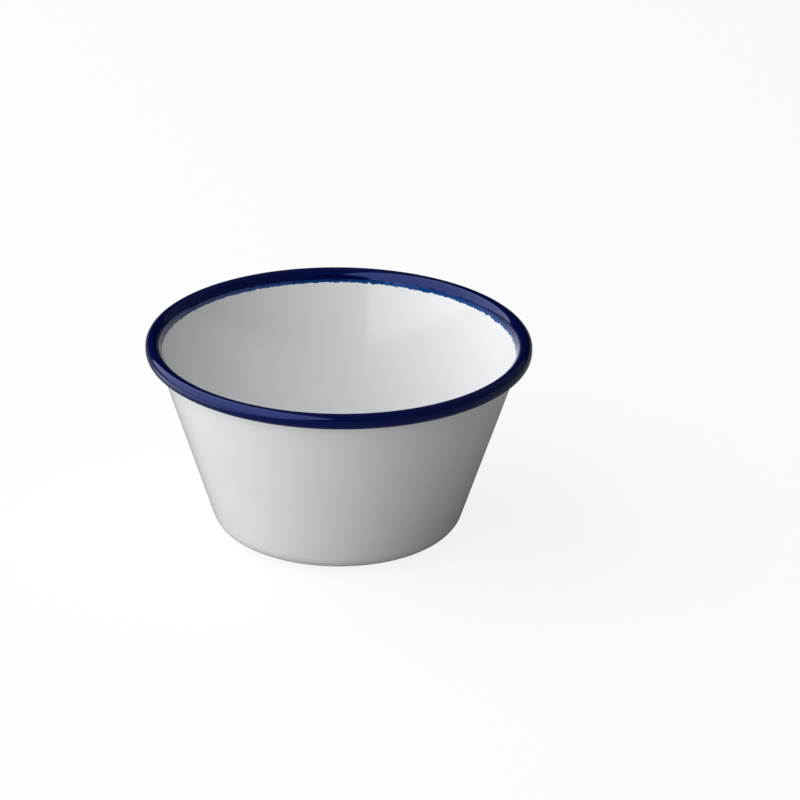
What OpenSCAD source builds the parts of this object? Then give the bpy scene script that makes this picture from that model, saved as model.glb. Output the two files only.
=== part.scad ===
// Small tapered bowl with a rolled rim: a white moulded body and a blue coat over its rim.
// Millimetres. The origin is on the table under the middle of the bowl, and +Z points up.
// Both pieces are turned from a section in which X is the radius and Y is the height.

/* [Bowl] */
// Diameter over the coated rim
rim_d = 125; // [100:0.5:160]
// Height from the table to the top of the rim
bowl_h = 65.5; // [50:0.5:85]
// Lean of the wall, in degrees out from upright
wall_lean = 18; // [10:0.5:24]
// Thickness of the wall
wall_t = 1.6; // [1.2:0.1:2.4]
// Thickness of the floor
floor_t = 2.2; // [1.4:0.1:5]
// Radius of the outer corner between the base and the wall
corner_r = 7.5; // [3:0.1:14]
// Radius of the inner corner between the floor and the wall
inner_corner_r = 8; // [3:0.1:14]

/* [Foot ring] */
// Height of the ring that the bowl stands on
foot_h = 0.9; // [0.4:0.1:3]
// Width of the ring where it meets the table
foot_w = 2; // [1:0.1:5]
// Distance from the outer corner in to the foot of the ring
foot_inset = 1.6; // [0.8:0.1:6]
// Draft of the ring's sides, in degrees
foot_draft = 30; // [5:1:45]

/* [Rim] */
// Width of the rim bead, with its coat
bead_w = 4.1; // [3:0.1:5.4]
// Height of the straight band round the outside of the bead
bead_band = 0.9; // [0.2:0.1:3]
// Radius at which the inside of the rim rolls over into the wall, with its coat
roll_r = 2.8; // [2.3:0.1:4]

/* [Rim coat] */
// Thickness of the blue coat
coat_t = 0.15; // [0.08:0.01:0.4]
// Height of the full coat below the roll, inside the bowl
coat_skirt = 0.9; // [0.2:0.1:6]
// Height over which the coat then thins out to nothing
coat_feather = 1.1; // [0.5:0.1:4]

/* [Hidden] */
$fn = 180;

// Extra radius by which a round overlaps the straight face that runs into it
blend = 0.002;

// Half of the bead's width, and the radius at its top
bead_r = bead_w / 2;
crest_r = rim_d / 2 - bead_r;

// Unit vectors square to the wall, towards the inside, and up along the wall
into_bowl = [-cos(wall_lean), sin(wall_lean)];
up_wall = [sin(wall_lean), cos(wall_lean)];

// Middle of the inner roll, and where the roll meets the bare and the coated wall
roll_middle = [crest_r, bowl_h - roll_r];
bare_meet = roll_middle + (roll_r - coat_t) * into_bowl;
coat_meet = roll_middle + roll_r * into_bowl;

// The point of a straight line along the wall at a given height
function on_wall(start, height) = start + up_wall * (height - start[1]) / up_wall[1];

// A point of the wall's outer face
outer_start = bare_meet - wall_t * into_bowl;

// Middle of a corner of radius r between a level line and the wall, inside the wall line
function corner_middle(start, level, r) =
    let (edge = start + r * into_bowl)
    on_wall(edge, level + r);

// Outer and inner corners
base_level = foot_h;
floor_level = base_level + floor_t;
outer_corner = corner_middle(outer_start, base_level, corner_r);
inner_corner = corner_middle(bare_meet, floor_level, inner_corner_r);

// Height above the rim to which the hollow is cut
clear_above = 2;

// Share of the thinning stretch by which its slope runs on into the wall, for a clean end
overrun = 0.25;

// A level bottom that runs round a corner into the leaning wall, up to a given height
module tapered_section(wall_start, level, middle, r, top) {
    polygon([
        [0, level],
        [middle[0], level],
        middle - r * into_bowl,
        on_wall(wall_start, top),
        [0, top]
    ]);
    translate(middle)
        circle(r + blend);
}

// Bead and inner roll of the rim, drawn in from its coated size
module bead_section(drawn_in) {
    upper = bowl_h - bead_r;
    lower = upper - bead_band;
    half_w = bead_r - drawn_in;
    for (height = [lower, upper])
        translate([crest_r, height])
            circle(half_w);
    translate([crest_r - half_w, lower])
        square([bead_w - 2 * drawn_in, bead_band]);
    intersection() {
        translate(roll_middle)
            circle(roll_r - drawn_in + blend);
        translate([crest_r - 2 * roll_r, roll_middle[1]])
            square(2 * roll_r);
        square([crest_r, bowl_h - drawn_in]);
    }
}

// Ring under the base, with drafted sides
module foot_section() {
    outside = outer_corner[0] - foot_inset;
    inside = outside - foot_w;
    root = foot_h + floor_t / 2;
    spread = root * tan(foot_draft);
    polygon([
        [inside, 0],
        [outside, 0],
        [outside + spread, root],
        [inside - spread, root]
    ]);
}

// The white body, cut through on one side of its axis
module body_section() {
    difference() {
        union() {
            tapered_section(outer_start, base_level, outer_corner, corner_r, bare_meet[1]);
            bead_section(coat_t);
            foot_section();
        }
        tapered_section(bare_meet, floor_level, inner_corner, inner_corner_r, bowl_h + clear_above);
    }
}

// The coat, cut through: over the bead and down the inside, where it thins out
module coat_section() {
    full_end = on_wall(coat_meet, coat_meet[1] - coat_skirt);
    bare_end = on_wall(bare_meet, full_end[1] - coat_feather);
    past_end = bare_end + overrun * (bare_end - full_end);
    difference() {
        union() {
            bead_section(0);
            polygon([coat_meet, full_end, past_end, roll_middle]);
        }
        body_section();
    }
}

module bowl_body() {
    color("white")
        rotate_extrude()
            body_section();
}

module rim_coat() {
    color([0.02, 0.03, 0.22])
        rotate_extrude()
            coat_section();
}

bowl_body();
rim_coat();
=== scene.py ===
"""Looks of a small white bowl with a rolled rim in a navy coat, on a plain pale studio floor."""
import math

import bmesh
import bpy
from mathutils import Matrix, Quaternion, Vector


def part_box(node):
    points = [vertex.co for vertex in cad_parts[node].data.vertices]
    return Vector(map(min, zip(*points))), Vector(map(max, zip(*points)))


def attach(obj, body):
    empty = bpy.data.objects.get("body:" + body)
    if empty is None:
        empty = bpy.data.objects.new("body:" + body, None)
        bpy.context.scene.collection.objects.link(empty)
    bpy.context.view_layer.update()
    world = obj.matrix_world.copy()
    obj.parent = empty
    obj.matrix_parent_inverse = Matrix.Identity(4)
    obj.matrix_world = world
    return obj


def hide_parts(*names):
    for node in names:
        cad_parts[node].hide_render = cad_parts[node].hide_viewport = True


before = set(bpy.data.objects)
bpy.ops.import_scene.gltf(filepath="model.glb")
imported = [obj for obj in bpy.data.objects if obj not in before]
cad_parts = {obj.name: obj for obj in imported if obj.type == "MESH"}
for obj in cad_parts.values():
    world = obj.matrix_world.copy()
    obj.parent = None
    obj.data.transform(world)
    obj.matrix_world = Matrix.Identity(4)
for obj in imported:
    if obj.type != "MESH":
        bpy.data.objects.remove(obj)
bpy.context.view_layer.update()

# Sizes in metres, from the frame and, where a box can't say them, as named values
MM = 0.001
coat_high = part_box("rim_coat")[1]
body_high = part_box("bowl_body")[1]
RIM_RADIUS = coat_high.x
RIM_TOP = coat_high.z
COAT = RIM_TOP - body_high.z
WALL_LEAN = math.radians(18)
WALL = 1.6 * MM
FLOOR = 2.2 * MM
OUTER_CORNER = 7.5 * MM
INNER_CORNER = 8 * MM
FOOT_HEIGHT = 0.9 * MM
FOOT_WIDTH = 2 * MM
FOOT_INSET = 1.6 * MM
FOOT_DRAFT = math.radians(30)
FOOT_EDGE = 0.3 * MM
BEAD_RADIUS = 2.05 * MM
BEAD_BAND = 0.9 * MM
ROLL_RADIUS = 2.8 * MM
SKIRT = 0.9 * MM
FEATHER = 1.2 * MM
BODY_STEPS = 400
COAT_STEPS = 1700
WELD = 0.0005 * MM

# Places in a section: x is the radius and y is the height
CREST = RIM_RADIUS - BEAD_RADIUS
BEAD_UPPER = Vector((CREST, RIM_TOP - BEAD_RADIUS))
BEAD_LOWER = BEAD_UPPER - Vector((0, BEAD_BAND))
ROLL_MIDDLE = Vector((CREST, RIM_TOP - ROLL_RADIUS))
INTO_BOWL = Vector((-math.cos(WALL_LEAN), math.sin(WALL_LEAN)))
UP_WALL = Vector((math.sin(WALL_LEAN), math.cos(WALL_LEAN)))
BARE_MEET = ROLL_MIDDLE + (ROLL_RADIUS - COAT) * INTO_BOWL
COAT_MEET = ROLL_MIDDLE + ROLL_RADIUS * INTO_BOWL
OUTER_FACE = BARE_MEET - WALL * INTO_BOWL


# Sections

def on_wall(start, height):
    """The point at a height on a line along the wall through start."""
    return start + UP_WALL * ((height - start.y) / UP_WALL.y)


def arc(middle, radius, start, end, steps):
    """Points of an arc between two angles in radians."""
    turn = (end - start) / steps
    angles = [start + turn * i for i in range(steps + 1)]
    return [middle + radius * Vector((math.cos(a), math.sin(a))) for a in angles]


def straight(start, end, steps):
    """Points from start to end, closer together at both ends."""
    shares = [(1 - math.cos(math.pi * i / steps)) / 2 for i in range(steps + 1)]
    return [start.lerp(end, s) for s in shares]


def rounded(before, corner, after, radius, steps):
    """Points of a round of that radius, in place of a corner between two lines."""
    back = (before - corner).normalized()
    on = (after - corner).normalized()
    half = back.angle(on) / 2
    middle = corner + (back + on).normalized() * (radius / math.sin(half))
    start = corner + back * (radius / math.tan(half)) - middle
    end = corner + on * (radius / math.tan(half)) - middle
    first = math.atan2(start.y, start.x)
    turn = (math.atan2(end.y, end.x) - first + math.pi) % (2 * math.pi) - math.pi
    return arc(middle, radius, first, first + turn, steps)


def bead_end(radius):
    """Angle at which the bead's underside runs into the wall's outer face."""
    facing = math.pi - WALL_LEAN
    reach = (OUTER_FACE - BEAD_LOWER).dot(INTO_BOWL) / radius
    return facing + math.acos(reach) - 2 * math.pi


def without_doubles(points):
    """The points, leaving out each that lies on the one before it."""
    least = 0.001 * MM
    return [p for i, p in enumerate(points) if i == 0 or (p - points[i - 1]).length > least]


def body_section():
    """The white body from the middle of its floor, over the rim, to the middle of its underside."""
    base = FOOT_HEIGHT
    top_of_floor = base + FLOOR
    bead = BEAD_RADIUS - COAT
    floor_middle = Vector((0, top_of_floor))
    base_middle = Vector((0, base))
    inner = on_wall(BARE_MEET, top_of_floor)
    outer = on_wall(OUTER_FACE, base)
    low_end = BEAD_LOWER + bead * Vector((math.cos(bead_end(bead)), math.sin(bead_end(bead))))
    inner_round = rounded(floor_middle, inner, BARE_MEET, INNER_CORNER, 20)
    outer_round = rounded(low_end, outer, base_middle, OUTER_CORNER, 20)
    foot_outside = outer_round[-1].x - FOOT_INSET
    spread = base * math.tan(FOOT_DRAFT)
    foot = [
        Vector((foot_outside + spread, base)),
        Vector((foot_outside, 0)),
        Vector((foot_outside - FOOT_WIDTH, 0)),
        Vector((foot_outside - FOOT_WIDTH - spread, base)),
    ]
    points = straight(floor_middle, inner_round[0], 16) + inner_round
    points += straight(inner_round[-1], BARE_MEET, 24)
    points += arc(ROLL_MIDDLE, ROLL_RADIUS - COAT, math.pi - WALL_LEAN, math.pi / 2, 12)
    points += arc(BEAD_UPPER, bead, math.pi / 2, 0, 12)
    points += arc(BEAD_LOWER, bead, 0, bead_end(bead), 16)
    points += straight(low_end, outer_round[0], 24) + outer_round
    points += rounded(outer_round[-1], foot[0], foot[1], FOOT_EDGE, 5)
    points += rounded(foot[0], foot[1], foot[2], FOOT_EDGE, 5)
    points += rounded(foot[1], foot[2], foot[3], FOOT_EDGE, 5)
    points += rounded(foot[2], foot[3], base_middle, FOOT_EDGE, 5)
    points += straight(points[-1], base_middle, 12)
    return without_doubles(points)


def coat_section():
    """The coat all round, and how far each point follows the ragged edge and the crease above it.
    The crease is where the coat starts to thin out, and the edge is where it ends."""
    sunk = 0.02 * MM
    tip = 0.02 * MM
    bead = BEAD_RADIUS - COAT - sunk
    roll = ROLL_RADIUS - COAT - sunk
    full_end = on_wall(COAT_MEET, COAT_MEET.y - SKIRT)
    bare_end = on_wall(BARE_MEET, full_end.y - FEATHER)
    shown = arc(BEAD_LOWER, BEAD_RADIUS, bead_end(BEAD_RADIUS), 0, 12)
    shown += arc(BEAD_UPPER, BEAD_RADIUS, 0, math.pi / 2, 10)
    shown += arc(ROLL_MIDDLE, ROLL_RADIUS, math.pi / 2, math.pi - WALL_LEAN, 10)
    shown += straight(COAT_MEET, full_end, 3)
    shown = without_doubles(shown)
    thinning = straight(full_end, bare_end + tip * INTO_BOWL, 8)[1:]
    under_edge = bare_end - sunk * INTO_BOWL
    hidden = [on_wall(BARE_MEET, full_end.y) - sunk * INTO_BOWL]
    hidden += arc(ROLL_MIDDLE, roll, math.pi - WALL_LEAN, math.pi / 2, 2)
    hidden += arc(BEAD_UPPER, bead, math.pi / 2, 0, 2)
    hidden += arc(BEAD_LOWER, bead, 0, bead_end(bead), 3)
    hidden = without_doubles(hidden) + [shown[0]]
    points = shown + thinning + [under_edge] + hidden
    along = [(i + 1) / len(thinning) for i in range(len(thinning))]
    edge = [0.0] * len(shown) + along + [1.0] + [0.0] * len(hidden)
    crease = [0.0] * (len(shown) - 1) + [1.0] + [1 - a for a in along] + [0.0] * (len(hidden) + 1)
    return points, {"edge": edge, "crease": crease}


# Turning, by geometry nodes

class Tree:
    """A node tree that is built by adding nodes and joining their sockets."""

    def __init__(self, tree):
        self.tree = tree

    def add(self, kind, **settings):
        """A new node, with its settings."""
        made = self.tree.nodes.new(kind)
        for name, value in settings.items():
            setattr(made, name, value)
        return made

    def join(self, source, target):
        """Feeds one socket from another, or from a plain value."""
        if isinstance(source, bpy.types.NodeSocket):
            self.tree.links.new(source, target)
        else:
            target.default_value = source

    def math(self, operation, first, second=0.0, third=0.0):
        """The result of one sum, or of another operation on numbers."""
        made = self.add("ShaderNodeMath", operation=operation)
        for socket, source in zip(made.inputs, (first, second, third)):
            self.join(source, socket)
        return made.outputs[0]

    def node(self, kind, inputs, **settings):
        """A new node with its inputs joined by name."""
        made = self.add(kind, **settings)
        for name, source in inputs.items():
            self.join(source, made.inputs[name])
        return made


def geometry_tree(name, inputs):
    """An empty geometry tree with a geometry input, named inputs and a geometry output."""
    group = bpy.data.node_groups.new(name, "GeometryNodeTree")
    face = group.interface
    face.new_socket("Section", in_out="INPUT", socket_type="NodeSocketGeometry")
    for label, (kind, value) in inputs.items():
        socket = face.new_socket(label, in_out="INPUT", socket_type="NodeSocket" + kind)
        if value is not None:
            socket.default_value = value
    face.new_socket("Geometry", in_out="OUTPUT", socket_type="NodeSocketGeometry")
    tree = Tree(group)
    return tree, tree.add("NodeGroupInput").outputs, tree.add("NodeGroupOutput").inputs


def turned_grid(tree, section, steps):
    """A grid with a column for each step round the axis and a row for each point of the section.
    Returns the grid, the angle of each column and the section's row number."""
    size = tree.node("GeometryNodeAttributeDomainSize", {"Geometry": section}, component="MESH")
    rows = size.outputs["Point Count"]
    grid = tree.node("GeometryNodeMeshGrid", {
        "Vertices X": tree.math("ADD", steps, 1),
        "Vertices Y": rows,
    })
    index = tree.add("GeometryNodeInputIndex").outputs[0]
    row = tree.math("MODULO", index, rows)
    column = tree.math("FLOOR", tree.math("DIVIDE", tree.math("ADD", index, 0.5), rows))
    angle = tree.math("MULTIPLY", tree.math("DIVIDE", column, steps), 2 * math.pi)
    return grid.outputs["Mesh"], angle, row


def sampled(tree, section, value, row, kind):
    """A value of the section at a row."""
    picked = tree.node("GeometryNodeSampleIndex", {"Geometry": section, "Value": value, "Index": row},
                       data_type=kind, domain="POINT")
    return picked.outputs["Value"]


def swung(tree, radius, height, angle):
    """The place at a radius, a height and an angle round the axis."""
    made = tree.node("ShaderNodeCombineXYZ", {
        "X": tree.math("MULTIPLY", radius, tree.math("COSINE", angle)),
        "Y": tree.math("MULTIPLY", radius, tree.math("SINE", angle)),
        "Z": height,
    })
    return made.outputs[0]


def close_and_finish(tree, mesh, material, output):
    """Closes the seam and the poles, smooths the shading and sets the material."""
    merged = tree.node("GeometryNodeMergeByDistance", {"Geometry": mesh, "Distance": WELD})
    smooth = tree.node("GeometryNodeSetShadeSmooth", {"Geometry": merged.outputs[0], "Shade Smooth": True})
    whole = tree.node("GeometryNodeRealizeInstances", {"Geometry": smooth.outputs[0]})
    finished = tree.node("GeometryNodeSetMaterial", {"Geometry": whole.outputs[0], "Material": material})
    tree.join(finished.outputs[0], output)


def turned_piece_tree():
    """Turns a section round the upright axis."""
    tree, given, made = geometry_tree("Turned piece", {
        "Steps": ("Int", BODY_STEPS),
        "Material": ("Material", None),
    })
    section = given["Section"]
    grid, angle, row = turned_grid(tree, section, given["Steps"])
    place = sampled(tree, section, tree.add("GeometryNodeInputPosition").outputs[0], row, "FLOAT_VECTOR")
    parts = tree.node("ShaderNodeSeparateXYZ", {"Vector": place}).outputs
    moved = tree.node("GeometryNodeSetPosition", {
        "Geometry": grid,
        "Position": swung(tree, parts["X"], parts["Z"], angle),
    })
    close_and_finish(tree, moved.outputs[0], given["Material"], made["Geometry"])
    return tree.tree


def round_noise(tree, angle, seed, waves, detail):
    """Even noise from about -1 to 1 round the rim, with that many waves in a turn."""
    ring = swung(tree, waves / (2 * math.pi), 0.0, angle)
    noise = tree.node("ShaderNodeTexNoise", {
        "Vector": ring, "W": seed, "Scale": 1.0, "Detail": detail, "Roughness": 0.6,
    }, noise_dimensions="4D")
    return tree.math("MULTIPLY_ADD", noise.outputs["Fac"], 4.0, -2.0)


def section_share(tree, section, name, row):
    """A named share of the section's points, at a row."""
    stored = tree.node("GeometryNodeInputNamedAttribute", {"Name": name}, data_type="FLOAT")
    return sampled(tree, section, stored.outputs["Attribute"], row, "FLOAT")


def with_attribute(tree, mesh, name, value):
    """The mesh with a number kept at each point, for its material."""
    kept = tree.node("GeometryNodeStoreNamedAttribute", {
        "Geometry": mesh, "Name": name, "Value": value,
    }, data_type="FLOAT", domain="POINT")
    return kept.outputs[0]


# The brushed edge: how it changes from the left side of the bowl to the right, and its noises
EDGE_FOLLOWS_TILT = 0.24
RAGGED_MEAN = 0.7
RAGGED_SWING = 0.3
# The thin edge's colour share grows from the shaded left side (minus x) to the right side (plus x), where
# the light falls inside the bowl: painted light on top of the coat's real thinning.
THIN_MEAN = 0.65
THIN_AND_LIT_SIDE_SWING = 0.35
EDGE_NOISES = (("Wander", 7, 1), ("Dab", 150, 1), ("Bristle", 420, 2))
CREASE_WAVES = 110
CREASE_SEED_STEP = 20.0
STROKE_WAVES = 300
STROKE_SEED_STEP = 40.0


def brushed_coat_tree():
    """Turns the coat's section round the axis, with a ragged edge that runs up and down the wall."""
    tree, given, made = geometry_tree("Brushed rim coat", {
        "Steps": ("Int", COAT_STEPS),
        "Tilt": ("Float", 0.5 * MM),
        "Crease": ("Float", 0.32 * MM),
        "Wander": ("Float", 0.12 * MM),
        "Dab": ("Float", 0.42 * MM),
        "Bristle": ("Float", 0.42 * MM),
        "Seed": ("Float", 3.0),
        "Material": ("Material", None),
    })
    section = given["Section"]
    grid, angle, row = turned_grid(tree, section, given["Steps"])
    place = sampled(tree, section, tree.add("GeometryNodeInputPosition").outputs[0], row, "FLOAT_VECTOR")
    edge = section_share(tree, section, "edge", row)
    crease = section_share(tree, section, "crease", row)
    side = tree.math("COSINE", angle)
    tilt = tree.math("MULTIPLY", side, given["Tilt"])
    crease_drop = tree.math("MULTIPLY", tilt, -1.0)
    edge_drop = tree.math("MULTIPLY", tilt, EDGE_FOLLOWS_TILT)
    ragged = tree.math("MULTIPLY_ADD", side, RAGGED_SWING, RAGGED_MEAN)
    for label, waves, detail in EDGE_NOISES:
        noise = round_noise(tree, angle, given["Seed"], waves, detail)
        reach = tree.math("MULTIPLY", ragged, given[label])
        edge_drop = tree.math("MULTIPLY_ADD", noise, reach, edge_drop)
    crease_seed = tree.math("ADD", given["Seed"], CREASE_SEED_STEP)
    noise = round_noise(tree, angle, crease_seed, CREASE_WAVES, 2)
    crease_drop = tree.math("MULTIPLY_ADD", noise, given["Crease"], crease_drop)
    slide = tree.math("MULTIPLY", edge_drop, edge)
    slide = tree.math("MULTIPLY_ADD", crease_drop, crease, slide)
    parts = tree.node("ShaderNodeSeparateXYZ", {"Vector": place}).outputs
    radius = tree.math("MULTIPLY_ADD", slide, -UP_WALL.x, parts["X"])
    height = tree.math("MULTIPLY_ADD", slide, -UP_WALL.y, parts["Z"])
    stroke_seed = tree.math("ADD", given["Seed"], STROKE_SEED_STEP)
    stroke = round_noise(tree, angle, stroke_seed, STROKE_WAVES, 2)
    # Painted light: the thin edge is coloured paler where the light falls on the right and darker in the
    # shade on the left, as well as by how far along the thinning each point lies.
    thinness_and_lit_side = tree.math("MULTIPLY", edge, tree.math("MULTIPLY_ADD", side, THIN_AND_LIT_SIDE_SWING, THIN_MEAN))
    mesh = with_attribute(tree, grid, "thinness_and_lit_side", thinness_and_lit_side)
    mesh = with_attribute(tree, mesh, "stroke", stroke)
    moved = tree.node("GeometryNodeSetPosition", {
        "Geometry": mesh,
        "Position": swung(tree, radius, height, angle),
    })
    close_and_finish(tree, moved.outputs[0], given["Material"], made["Geometry"])
    return tree.tree


def turned_piece(name, points, tree, values, shares=None):
    """A closed mesh that a tree turns from the points of a section and their named shares."""
    line = bpy.data.meshes.new(name + "_section")
    edges = [(i, i + 1) for i in range(len(points) - 1)]
    line.from_pydata([(p.x, 0, p.y) for p in points], edges, [])
    for label, share in (shares or {}).items():
        line.attributes.new(label, "FLOAT", "POINT").data.foreach_set("value", share)
    maker = bpy.data.objects.new(name + "_maker", line)
    bpy.context.scene.collection.objects.link(maker)
    turning = maker.modifiers.new("Turn", "NODES")
    turning.node_group = tree
    for item in tree.interface.items_tree:
        if item.in_out == "INPUT" and item.name in values:
            turning[item.identifier] = values[item.name]
    graph = bpy.context.evaluated_depsgraph_get()
    mesh = bpy.data.meshes.new_from_object(maker.evaluated_get(graph))
    while mesh.materials[0] is None:
        mesh.materials.pop(index=0)
    maker.modifiers.remove(turning)
    bpy.data.objects.remove(maker)
    shell = bmesh.new()
    shell.from_mesh(mesh)
    bmesh.ops.recalc_face_normals(shell, faces=shell.faces)
    shell.to_mesh(mesh)
    shell.free()
    mesh.name = name
    piece = bpy.data.objects.new(name, mesh)
    bpy.context.scene.collection.objects.link(piece)
    return piece


# Finishes

def new_material(name):
    """A material with an empty tree and its principled shader."""
    material = bpy.data.materials.new(name)
    material.use_nodes = True
    material.node_tree.nodes.clear()
    tree = Tree(material.node_tree)
    shader = tree.add("ShaderNodeBsdfPrincipled")
    output = tree.add("ShaderNodeOutputMaterial")
    tree.join(shader.outputs[0], output.inputs["Surface"])
    return material, tree, shader


def own_place(tree):
    """The place on the object, in its own coordinates."""
    return tree.add("ShaderNodeTexCoord").outputs["Object"]


def shader_group(name, inputs, outputs):
    """An empty shader group with named inputs and outputs."""
    group = bpy.data.node_groups.new(name, "ShaderNodeTree")
    for label, (kind, value) in inputs.items():
        socket = group.interface.new_socket(label, in_out="INPUT", socket_type="NodeSocket" + kind)
        if value is not None:
            socket.default_value = value
    for label, kind in outputs.items():
        group.interface.new_socket(label, in_out="OUTPUT", socket_type="NodeSocket" + kind)
    tree = Tree(group)
    return tree, tree.add("NodeGroupInput").outputs, tree.add("NodeGroupOutput").inputs


def gloss_group():
    """Uneven gloss: a soft cloud in the roughness and a faint ripple in the surface."""
    tree, given, made = shader_group("Uneven gloss", {
        "Place": ("Vector", None),
        "Smoothest": ("Float", 0.05),
        "Roughest": ("Float", 0.1),
        "Cloud scale": ("Float", 60.0),
        "Ripple scale": ("Float", 140.0),
    }, {"Roughness": "Float", "Height": "Float", "Cloud": "Float"})
    cloud = tree.node("ShaderNodeTexNoise", {
        "Vector": given["Place"], "Scale": given["Cloud scale"], "Detail": 3.0,
    }).outputs["Fac"]
    ripple = tree.node("ShaderNodeTexNoise", {
        "Vector": given["Place"], "Scale": given["Ripple scale"], "Detail": 1.0,
    }).outputs["Fac"]
    span = tree.math("SUBTRACT", given["Roughest"], given["Smoothest"])
    tree.join(tree.math("MULTIPLY_ADD", cloud, span, given["Smoothest"]), made["Roughness"])
    tree.join(ripple, made["Height"])
    tree.join(cloud, made["Cloud"])
    return tree.tree


def place_group(tree, group, inputs):
    """A group placed in a material, with its inputs joined by name."""
    made = tree.node("ShaderNodeGroup", {}, node_tree=group)
    for name, source in inputs.items():
        tree.join(source, made.inputs[name])
    return made.outputs


def ramp(tree, value, stops):
    """Colours blended by a value, between stops of (place, colour)."""
    made = tree.add("ShaderNodeValToRGB")
    band = made.color_ramp
    while len(band.elements) < len(stops):
        band.elements.new(1.0)
    for element, (place, colour) in zip(band.elements, stops):
        element.position = place
        element.color = (*colour, 1)
    tree.join(value, made.inputs["Fac"])
    return made.outputs["Color"]


def white_gloss(gloss):
    """Smooth white moulding with a high gloss."""
    material, tree, shader = new_material("white_gloss")
    uneven = place_group(tree, gloss, {
        "Place": own_place(tree), "Smoothest": 0.08, "Roughest": 0.12,
    })
    white = ramp(tree, uneven["Cloud"], [(0.3, (0.90, 0.915, 0.925)), (0.7, (0.92, 0.935, 0.945))])
    tree.join(white, shader.inputs["Base Color"])
    tree.join(uneven["Roughness"], shader.inputs["Roughness"])
    bump = tree.node("ShaderNodeBump", {"Height": uneven["Height"], "Strength": 0.04, "Distance": 0.05 * MM})
    tree.join(bump.outputs[0], shader.inputs["Normal"])
    shader.inputs["IOR"].default_value = 1.5
    return material


def navy_coat(gloss):
    """Glossy navy coat that turns cobalt in uneven strokes where it thins out, and pale at its edge; the
    thin edge is also painted paler on the bowl's lit right side and darker on its shaded left.
    """
    material, tree, shader = new_material("navy_coat")
    uneven = place_group(tree, gloss, {
        "Place": own_place(tree), "Smoothest": 0.03, "Roughest": 0.07, "Ripple scale": 260.0,
    })
    thin_and_lit_side = tree.node("ShaderNodeAttribute", {}, attribute_name="thinness_and_lit_side").outputs["Fac"]
    stroke = tree.node("ShaderNodeAttribute", {}, attribute_name="stroke").outputs["Fac"]
    # Painted light and thinning: the share follows the coat's thinning and is raised on the lit right side,
    # lowered on the shaded left.
    streaky_thin_and_lit_side = tree.math("MULTIPLY", thin_and_lit_side, tree.math("MULTIPLY_ADD", stroke, 0.3, 1.0))
    colour = ramp(tree, streaky_thin_and_lit_side, [
        (0.0, (0.0006, 0.0036, 0.060)),
        (0.08, (0.0012, 0.010, 0.090)),
        (0.3, (0.004, 0.050, 0.21)),
        (0.8, (0.010, 0.085, 0.30)),
        (1.0, (0.35, 0.58, 0.80)),
    ])
    tree.join(colour, shader.inputs["Base Color"])
    tree.join(uneven["Roughness"], shader.inputs["Roughness"])
    bump = tree.node("ShaderNodeBump", {"Height": uneven["Height"], "Strength": 0.05, "Distance": 0.05 * MM})
    tree.join(bump.outputs[0], shader.inputs["Normal"])
    shader.inputs["IOR"].default_value = 1.75
    shader.inputs["Specular Tint"].default_value = (0.25, 0.34, 1, 1)
    return material


# Studio

FLOOR_REACH = 3.0
FLOOR_BEND = 0.3
BACKDROP_TOP = 0.5
FLOOR_BOUNCE = 0.58
FLOOR_SHOWN = 0.17
FLOOR_GLOW = 0.86
FLOOR_GLOW_REFLECTED = 0.1
PHOTO_PIXELS = 800
FRAME_WIDTH = 36.0
FOCAL_PIXELS = 4529
CAMERA_DISTANCE = 1.476
CAMERA_RISE = math.radians(24.208)
CAMERA_ROLL = math.radians(0.471)
AIM_HEIGHT = 33.2 * MM
AIM_PIXEL = (338.3, 429.46)


def studio_camera():
    """Camera at the photograph's angle, turned so that the bowl's middle falls on its pixel."""
    data = bpy.data.cameras.new("studio_camera")
    data.sensor_width = FRAME_WIDTH
    data.lens = FOCAL_PIXELS * FRAME_WIDTH / PHOTO_PIXELS
    camera = bpy.data.objects.new("studio_camera", data)
    bpy.context.scene.collection.objects.link(camera)
    back = Vector((0, -math.cos(CAMERA_RISE), math.sin(CAMERA_RISE)))
    camera.location = Vector((0, 0, AIM_HEIGHT)) + CAMERA_DISTANCE * back
    across = (AIM_PIXEL[0] - PHOTO_PIXELS / 2) / FOCAL_PIXELS
    down = (AIM_PIXEL[1] - PHOTO_PIXELS / 2) / FOCAL_PIXELS
    ahead = Vector((0, 0, -1))
    aside = ahead.rotation_difference(Vector((across, -down, -1)))
    roll = Quaternion((0, 0, 1), -CAMERA_ROLL)
    camera.rotation_mode = "QUATERNION"
    camera.rotation_quaternion = (-back).to_track_quat("-Z", "Y") @ (aside @ roll).inverted()
    bpy.context.scene.camera = camera


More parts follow.
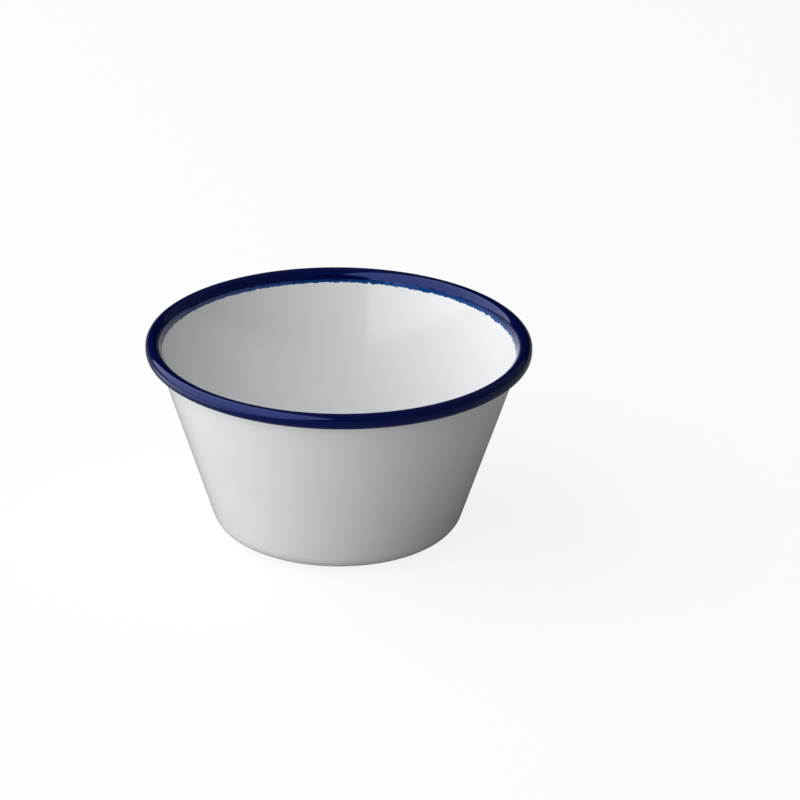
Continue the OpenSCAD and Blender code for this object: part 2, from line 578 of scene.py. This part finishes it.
def pale_floor():
    """Round pale floor that bends up into a low backdrop and keeps the bowl's shadow.
    It lights the bowl as a white table does, and is dimmer in reflections, as in a dark room."""
    section = [Vector((0, 0)), Vector((FLOOR_REACH, 0))]
    section += arc(Vector((FLOOR_REACH, FLOOR_BEND)), FLOOR_BEND, -math.pi / 2, 0, 12)[1:]
    section += [Vector((FLOOR_REACH + FLOOR_BEND, BACKDROP_TOP))]
    sheet = bmesh.new()
    points = [sheet.verts.new((p.x, 0, p.y)) for p in section]
    edges = [sheet.edges.new(pair) for pair in zip(points, points[1:])]
    bmesh.ops.spin(sheet, geom=points + edges, cent=(0, 0, 0), axis=(0, 0, 1), angle=2 * math.pi, steps=96)
    bmesh.ops.remove_doubles(sheet, verts=sheet.verts, dist=0.01 * MM)
    bmesh.ops.recalc_face_normals(sheet, faces=sheet.faces)
    mesh = bpy.data.meshes.new("pale_floor")
    sheet.to_mesh(mesh)
    sheet.free()
    mesh.shade_smooth()
    ground = bpy.data.objects.new("pale_floor", mesh)
    bpy.context.scene.collection.objects.link(ground)
    material, tree, shader = new_material("pale_floor")
    shader.inputs["Roughness"].default_value = 0.9
    shader.inputs["Specular IOR Level"].default_value = 0
    shader.inputs["Emission Color"].default_value = (1, 1, 1, 1)
    ray = tree.add("ShaderNodeLightPath").outputs
    direct = tree.math("MAXIMUM", ray["Is Camera Ray"], ray["Is Transmission Ray"])
    glow = tree.math("MULTIPLY", direct, FLOOR_GLOW)
    glow = tree.math("MULTIPLY_ADD", ray["Is Glossy Ray"], FLOOR_GLOW_REFLECTED, glow)
    tree.join(glow, shader.inputs["Emission Strength"])
    seen = tree.math("MAXIMUM", direct, ray["Is Glossy Ray"])
    shade = tree.math("MULTIPLY_ADD", seen, FLOOR_SHOWN - FLOOR_BOUNCE, FLOOR_BOUNCE)
    tree.join(shade, shader.inputs["Base Color"])
    mesh.materials.append(material)


def softbox(name, place, aim, width, height, watts, turn=0.0, colour=(1, 1, 1)):
    """Rectangular lamp that faces a point, turned in its own plane."""
    data = bpy.data.lights.new(name, "AREA")
    data.shape = "RECTANGLE"
    data.size = width
    data.size_y = height
    data.energy = watts
    data.color = colour
    lamp = bpy.data.objects.new(name, data)
    lamp.location = place
    lamp.rotation_mode = "QUATERNION"
    facing = (Vector(aim) - Vector(place)).to_track_quat("-Z", "Y")
    lamp.rotation_quaternion = facing @ Quaternion((0, 0, 1), turn)
    lamp.visible_camera = False
    bpy.context.scene.collection.objects.link(lamp)


def studio_light():
    """Large leaning lamp from the left, a low panel before it, a faint warm fill and a dim room."""
    softbox("left_softbox", place=(-0.718, -0.012, 0.75), aim=(0.192, 0.268, 0.22),
            width=2.88, height=1.72, watts=27.2, turn=math.radians(-16))
    softbox("low_panel", place=(-0.525, -0.3, 0.002), aim=(-0.525, -0.3, 1),
            width=0.75, height=0.8, watts=1.5)
    softbox("right_fill", place=(0.66, -0.1, 1.14), aim=(0, 0, 0.03),
            width=4.5, height=3.0, watts=4.3, colour=(1, 0.95, 0.86))
    world = bpy.data.worlds.new("dim_room")
    world.use_nodes = True
    world.node_tree.nodes["Background"].inputs["Color"].default_value = (0.01, 0.01, 0.01, 1)
    bpy.context.scene.world = world


# Making

bpy.context.scene.view_settings.view_transform = "Standard"
studio_camera()
pale_floor()
studio_light()

gloss = gloss_group()
white_bowl = turned_piece("white_bowl", body_section(), turned_piece_tree(), {
    "Steps": BODY_STEPS, "Material": white_gloss(gloss),
})
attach(white_bowl, "root")
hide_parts("bowl_body")

coat_points, coat_shares = coat_section()
blue_rim = turned_piece("blue_rim", coat_points, brushed_coat_tree(), {
    "Steps": COAT_STEPS, "Material": navy_coat(gloss),
}, coat_shares)
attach(blue_rim, "root")
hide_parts("rim_coat")
